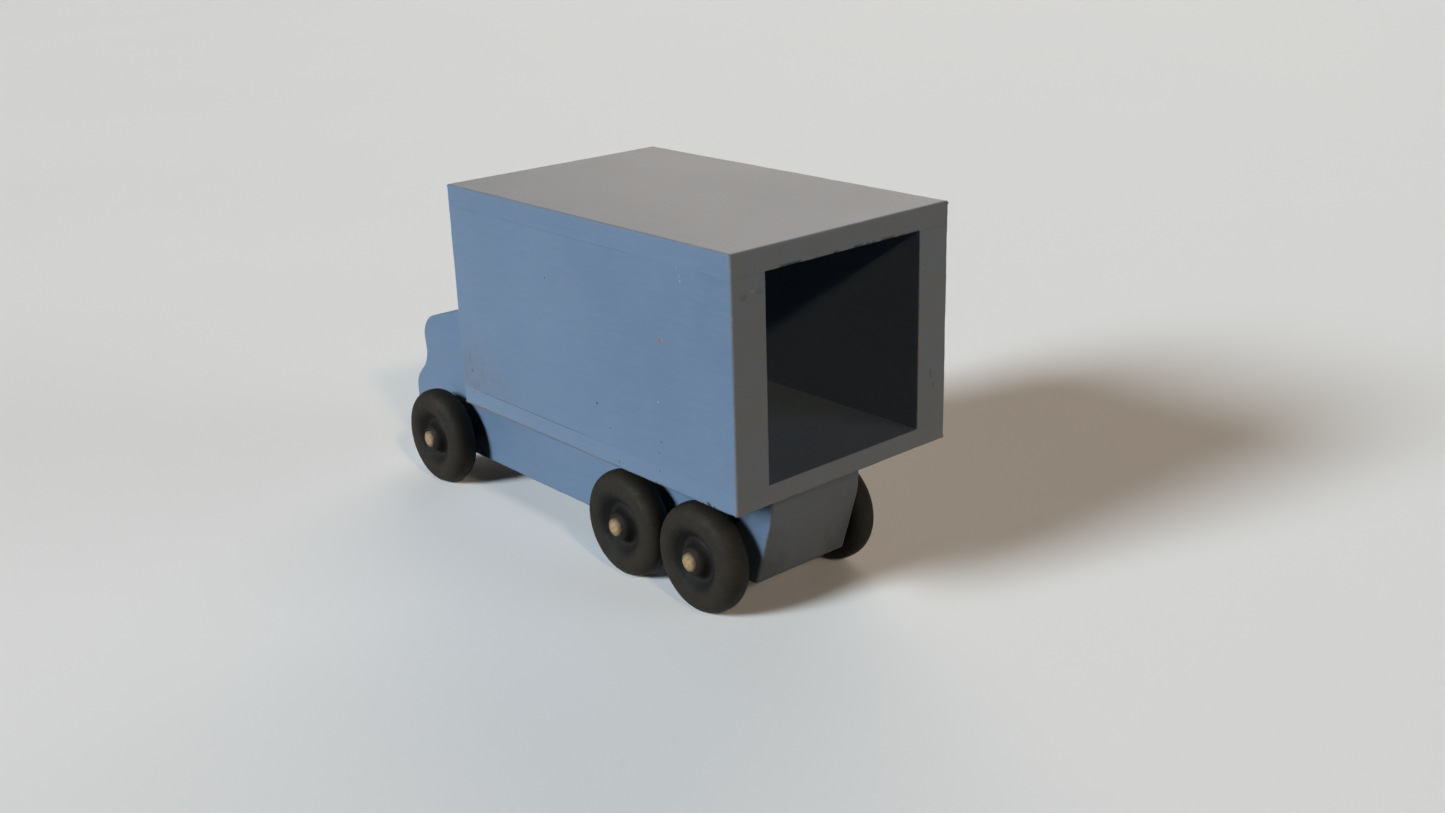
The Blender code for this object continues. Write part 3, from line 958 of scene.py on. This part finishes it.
def make_block():
    """The sawn block with three axle bores and hand-sanded edges."""
    half = block_high.y
    outline = divided(rounded_outline(block_corners()), BLOCK_SPACING)
    moves = inward_steps(outline)
    radii = []
    for place in outline:
        share = 1.0 + 0.35 * rough_noise((place.x, 0.0, place.y), 7.0 * MM, 3.0)
        radii.append(BLOCK_EDGE * max(0.6, min(1.1, share)))
    points, faces, wear, dust, end_shade_dark, loops = [], [], [], [], [], []

    def add_ring(places, depths, out, worn):
        loops.append(range(len(points), len(points) + len(places)))
        for place, depth in zip(places, depths):
            at_rear = 1.0 - smooth_step(place.x - block_low.x, *BLOCK_END_REACH)
            points.append((place.x, out * (half - depth), place.y))
            wear.append(worn)
            # The block's rear end is greyed and darkened as painted shade.
            on_rim = at_rear * smooth_step(depth, 0.0, BLOCK_END_FADE)
            dust.append(BLOCK_END_SHADE_GREY * on_rim)
            end_shade_dark.append(BLOCK_END_SHADE_DARK * on_rim)

    profile = block_rings()
    for out, rings in ((1.0, profile), (-1.0, profile[::-1])):
        for inward, deep, inset, worn in rings:
            places = [
                place + move * (inward * radius + inset)
                for place, move, radius in zip(outline, moves, radii)
            ]
            add_ring(places, [deep * radius for radius in radii], out, worn)
    join_loops(faces, loops)

    bores = []
    for station in AXLE_SETS:
        centre, radius = axle_size(station)[:2]
        mouth = circle(centre.x, centre.z, radius + BORE_CLEARANCE, BORE_STEPS)
        ring = [Vector(place) for place in mouth]
        pair = []
        for out in (1.0, -1.0):
            add_ring(ring, [0.0] * len(ring), out, 0.0)
            pair.append(loops[-1])
        join_loops(faces, pair)
        bores.append(pair)

    outermost = (loops[0], loops[2 * len(profile) - 1])
    for side, cap in enumerate(outermost):
        faces += flat_cap(points, [cap] + [pair[side] for pair in bores], side == 0)

    mesh = surface_mesh("chassis_and_cab_block", points, faces)
    store_shares(mesh, wear=wear, grime=[0.0] * len(wear), crack=end_shade_dark, dust=dust)
    # The block's sides carry painted shade round the rear wheels.
    material = painted_wood("block_paint", "X", 0.50, painted_wheel_shade(half))
    block = add_object("chassis_and_cab_block", mesh, material, "blue_paint", BODY, "chassis_and_cab")
    block.data.set_sharp_from_angle(angle=math.radians(28.0))


# ------------------------------------------------------------ wheels and axles

def turned(name, profile, centre, out, steps, dents=0.0, closed=False):
    """Turn (radius, distance out) pairs about a line along Y through a centre.

    A closed profile joins its last pair to its first, as a ring does.
    """
    rings = []
    points, faces = [], []
    for radius, reach in profile:
        ring = []
        if radius == 0.0:
            points.append(centre + Vector((0.0, out * reach, 0.0)))
            ring = [len(points) - 1] * steps
        else:
            for step in range(steps):
                angle = math.tau * step / steps
                place = Vector((radius * math.cos(angle), reach, radius * math.sin(angle)))
                size = radius + dents * rough_noise(place, 4.0 * MM, 6.0)
                points.append(
                    centre + Vector((size * math.cos(angle), out * reach, size * math.sin(angle)))
                )
                ring.append(len(points) - 1)
        rings.append(ring)
    following = rings[1:] + rings[:1] if closed else rings[1:]
    for one, next_one in zip(rings, following):
        for step in range(steps):
            after = (step + 1) % steps
            corners = [one[step], one[after], next_one[after], next_one[step]]
            kept = [corner for index, corner in enumerate(corners) if corner != corners[index - 1]]
            faces.append(kept if out > 0.0 else kept[::-1])
    return surface_mesh(name, points, faces), [len(set(ring)) for ring in rings]


def smooth_curve(points, steps):
    """A curve through points (Catmull-Rom), with the given steps between each two."""
    padded = [points[0], *points, points[-1]]
    curve = []
    for index in range(1, len(padded) - 2):
        p0, p1, p2, p3 = [Vector(point) for point in padded[index - 1 : index + 3]]
        for step in range(steps):
            t = step / steps
            place = 0.5 * (
                2.0 * p1 + (p2 - p0) * t + (2 * p0 - 5 * p1 + 4 * p2 - p3) * t ** 2
                + (3 * p1 - p0 - 3 * p2 + p3) * t ** 3
            )
            curve.append((place.x, place.y))
    curve.append(tuple(points[-1]))
    return curve


def wheel_profile(low, high, inner_reach, hub_face, bore):
    """(radius, distance out from the tread's middle), from the bore's mouth over the
    outer face and the tread to the inner hub."""
    radius = (high - low) / 2.0
    half = TREAD_HALF
    power = 2.0 / SQUARENESS
    profile = [
        (bore, hub_face - 1.2 * MM),
        (bore, hub_face - 0.10 * MM),
        (bore + 0.12 * MM, hub_face),
    ]
    profile += smooth_curve(
        [
            (bore + 0.45 * MM, hub_face - 0.06 * MM),
            (HUB_RIM - 0.7 * MM, hub_face - 0.38 * MM),
            (HUB_RIM - 0.1 * MM, hub_face - 1.15 * MM),
            (HUB_RIM + 0.5 * MM, 2.95 * MM),
            (6.3 * MM, 1.95 * MM),
            (7.3 * MM, 1.90 * MM),
            (8.4 * MM, 2.90 * MM),
            (10.0 * MM, 4.35 * MM),
            (11.8 * MM, half - 0.05 * MM),
        ],
        5,
    )
    for step in range(SHOULDER_STEPS + 1):
        angle = math.pi / 2.0 - math.pi * step / SHOULDER_STEPS
        out = max(0.0, math.cos(angle)) ** power
        along = math.copysign(abs(math.sin(angle)) ** power, math.sin(angle))
        profile.append((radius - SHOULDER * (1.0 - out), half * along))
    profile += [
        (9.0 * MM, -half),
        (6.4 * MM, -half),
        (INNER_HUB + 0.1 * MM, -half - 0.3 * MM),
        (INNER_HUB, inner_reach + 0.2 * MM),
        (INNER_HUB - 0.3 * MM, inner_reach),
        (bore, inner_reach),
        (bore, inner_reach + 1.0 * MM),
    ]
    return [(r, reach + turning_line(r, reach)) for r, reach in profile]


def turning_line(radius, reach):
    """Faint lathe lines on the wheel's outer face."""
    if radius < 5.5 * MM or radius > 14.0 * MM or reach < 0.0:
        return 0.0
    return TURNING_DEPTH * math.sin(math.tau * radius / TURNING_PITCH)


def make_wheel(station, side, material):
    node_name = "wheel_" + station + "_" + side
    low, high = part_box(node_name)
    out = 1.0 if side == "left" else -1.0
    outer, inner = (high.y, low.y) if out > 0.0 else (-low.y, -high.y)
    middle = outer - TREAD_HALF - HUB_PROUD
    centre = Vector(((low.x + high.x) / 2.0, out * middle, (low.z + high.z) / 2.0))
    bore = axle_size(station)[1] + WHEEL_BORE_GAP
    profile = wheel_profile(low.z, high.z, inner - middle, outer - middle, bore)
    mesh, counts = turned("turned_" + node_name, profile, centre, out, WHEEL_STEPS, WHEEL_DENTS, True)
    wear, grime = [], []
    for (radius, reach), count in zip(profile, counts):
        crown = smooth_step(radius, 9.0 * MM, 12.5 * MM) * smooth_step(reach, -6.0 * MM, 3.5 * MM)
        tread = smooth_step(radius, 17.0 * MM, 17.9 * MM)
        hub = 0.28 * smooth_step(reach, 4.6 * MM, 5.6 * MM)
        dish = 1.0 - smooth_step(abs(radius - 6.6 * MM), 0.5 * MM, 2.6 * MM)
        wear += [min(1.0, max(0.62 * crown, 0.30 * tread, hub))] * count
        grime += [0.10 * dish * (1.0 if reach > 0.0 else 0.0)] * count
    store_shares(mesh, wear=wear, grime=grime)
    add_object("turned_" + node_name, mesh, material, "black_paint", AXLE_SETS[station], node_name)


def make_axle(station, material):
    centre, radius, half = axle_size(station)
    end = [
        (0.0, half),
        (0.25 * radius, half - 0.01 * MM),
        (0.50 * radius, half - 0.06 * MM),
        (0.70 * radius, half - 0.16 * MM),
        (0.84 * radius, half - 0.30 * MM),
        (0.94 * radius, half - 0.52 * MM),
        (radius, half - 0.95 * MM),
        (radius, half - 2.0 * MM),
    ]
    first_half = end + [(radius, half * share) for share in (0.6, 0.3, 0.0)]
    profile = first_half + [(r, -reach) for r, reach in reversed(first_half[:-1])]
    mesh, counts = turned("dowel_axle_" + station, profile, centre, 1.0, AXLE_STEPS, AXLE_DENTS)
    grime = []
    for (ring_radius, reach), count in zip(profile, counts):
        rim = smooth_step(ring_radius, 0.45 * radius, 0.95 * radius)
        at_end = smooth_step(abs(reach), half - 3.0 * MM, half - 1.0 * MM)
        grime += [0.9 * rim * at_end] * count
    store_shares(mesh, grime=grime)
    add_object("dowel_axle_" + station, mesh, material, "dowel_wood", AXLE_SETS[station], "axle_" + station)


# --------------------------------------------------------------- stage and view

FLOOR_PALE = (0.91, 0.90, 0.90)
FLOOR_DARK = (0.88, 0.87, 0.87)
FLOOR_SIZE = 30.0
BACKDROP_COLOUR = (1.0, 1.0, 0.985)
BACKDROP_GLOW = 0.66
BACKDROP_RADIUS = 10.0
BACKDROP_HEIGHT = 15.0
BACKDROP_STEPS = 64
# A separate program solved the camera from the box's corners in the photograph.
CAMERA_PLACE = (-0.4048, 0.3056, 0.2239)
CAMERA_TURN = (70.080, 1.671, -131.582)
CAMERA_LENS = 38.318
SENSOR_WIDTH = 36.0

# Direction towards each light as (azimuth from +X towards +Y, elevation), its
# angular size in degrees, colour and strength. Directions and sizes were set by
# hand; a separate program fitted the colours and strengths to the photograph.
SUNS = {
    "window_key": (81.0, 27.0, 17.0, (0.81, 0.93, 1.00), 3.60),
    "warm_lamp": (162.0, 33.0, 4.0, (1.00, 0.74, 0.49), 0.66),
    "rear_fill": (206.0, 9.0, 30.0, (0.88, 0.98, 1.00), 0.72),
    "roof_sheen": (-52.0, 24.0, 50.0, (1.00, 0.86, 0.71), 1.11),
}
# The studio's far walls glow softly near the horizon under a dim ceiling.
WALL_GLOW = 0.42
CEILING_GLOW = 0.03
GROUND_GLOW = 0.10


def make_floor():
    """A pale floor that shows, but throws no diffuse light back on the toy."""
    reach = FLOOR_SIZE / 2.0
    corners = [(-reach, -reach, 0.0), (reach, -reach, 0.0), (reach, reach, 0.0), (-reach, reach, 0.0)]
    mesh = surface_mesh("studio_floor", corners, [(0, 1, 2, 3)])
    mesh.materials.append(pale_floor())
    floor = show("studio_floor", mesh)
    floor.visible_diffuse = False


def make_backdrop():
    """A pale wall far round the stage, which only the camera sees."""
    material, _, shader = new_material("pale_backdrop")
    shader.inputs["Base Color"].default_value = rgba((0.0, 0.0, 0.0))
    shader.inputs["Specular IOR Level"].default_value = 0.0
    shader.inputs["Emission Color"].default_value = rgba(BACKDROP_COLOUR)
    shader.inputs["Emission Strength"].default_value = BACKDROP_GLOW
    ring = circle(0.0, 0.0, BACKDROP_RADIUS, BACKDROP_STEPS)
    low = [(x, y, 0.0) for x, y in ring]
    high = [(x, y, BACKDROP_HEIGHT) for x, y in ring]
    faces = []
    join_loops(faces, [range(BACKDROP_STEPS), range(BACKDROP_STEPS, 2 * BACKDROP_STEPS)])
    mesh = surface_mesh("studio_backdrop", low + high, faces)
    mesh.materials.append(material)
    backdrop = show("studio_backdrop", mesh)
    backdrop.visible_diffuse = False
    backdrop.visible_glossy = False
    backdrop.visible_shadow = False


def make_lights():
    for name, (azimuth, elevation, size, colour, strength) in SUNS.items():
        lamp = bpy.data.lights.new(name, "SUN")
        lamp.energy = strength
        lamp.color = colour
        lamp.angle = math.radians(size)
        holder = show(name, lamp)
        turn, lift = math.radians(azimuth), math.radians(elevation)
        towards = Vector(
            (math.cos(turn) * math.cos(lift), math.sin(turn) * math.cos(lift), math.sin(lift))
        )
        holder.rotation_mode = "QUATERNION"
        holder.rotation_quaternion = towards.to_track_quat("Z", "Y")
    world = bpy.data.worlds.new("studio_light")
    bpy.context.scene.world = world
    world.use_nodes = True
    tree = world.node_tree
    direction = node(tree, "ShaderNodeTexCoord").outputs["Generated"]
    height = node(tree, "ShaderNodeSeparateXYZ", {0: direction}).outputs["Z"]
    upper = ramp(tree, height, 0.12, 0.34, WALL_GLOW, CEILING_GLOW)
    glow = ramp(tree, height, -0.05, 0.0, GROUND_GLOW, upper)
    tree.links.new(glow, tree.nodes["Background"].inputs["Strength"])


def make_camera():
    camera = bpy.data.cameras.new("photo_view")
    camera.lens = CAMERA_LENS
    camera.sensor_width = SENSOR_WIDTH
    camera.clip_start = 0.01
    camera.clip_end = 50.0
    holder = show("photo_view", camera)
    holder.location = CAMERA_PLACE
    holder.rotation_euler = [math.radians(angle) for angle in CAMERA_TURN]
    bpy.context.scene.camera = holder
    bpy.context.scene.view_settings.view_transform = "Standard"


def dress_screws():
    steel = worn_steel()
    for station in ("rear", "front"):
        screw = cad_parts["floor_screw_" + station]
        screw.data.materials.clear()
        screw.data.materials.append(steel)


def main():
    make_left_side()
    make_right_side()
    make_floor_board()
    make_roof_board()
    make_front_board()
    make_block()
    rubbed_black = black_wheel_paint()
    dowel = bare_dowel()
    for station in AXLE_SETS:
        make_axle(station, dowel)
        for side in ("left", "right"):
            make_wheel(station, side, rubbed_black)
    dress_screws()
    make_floor()
    make_backdrop()
    make_lights()
    make_camera()


main()
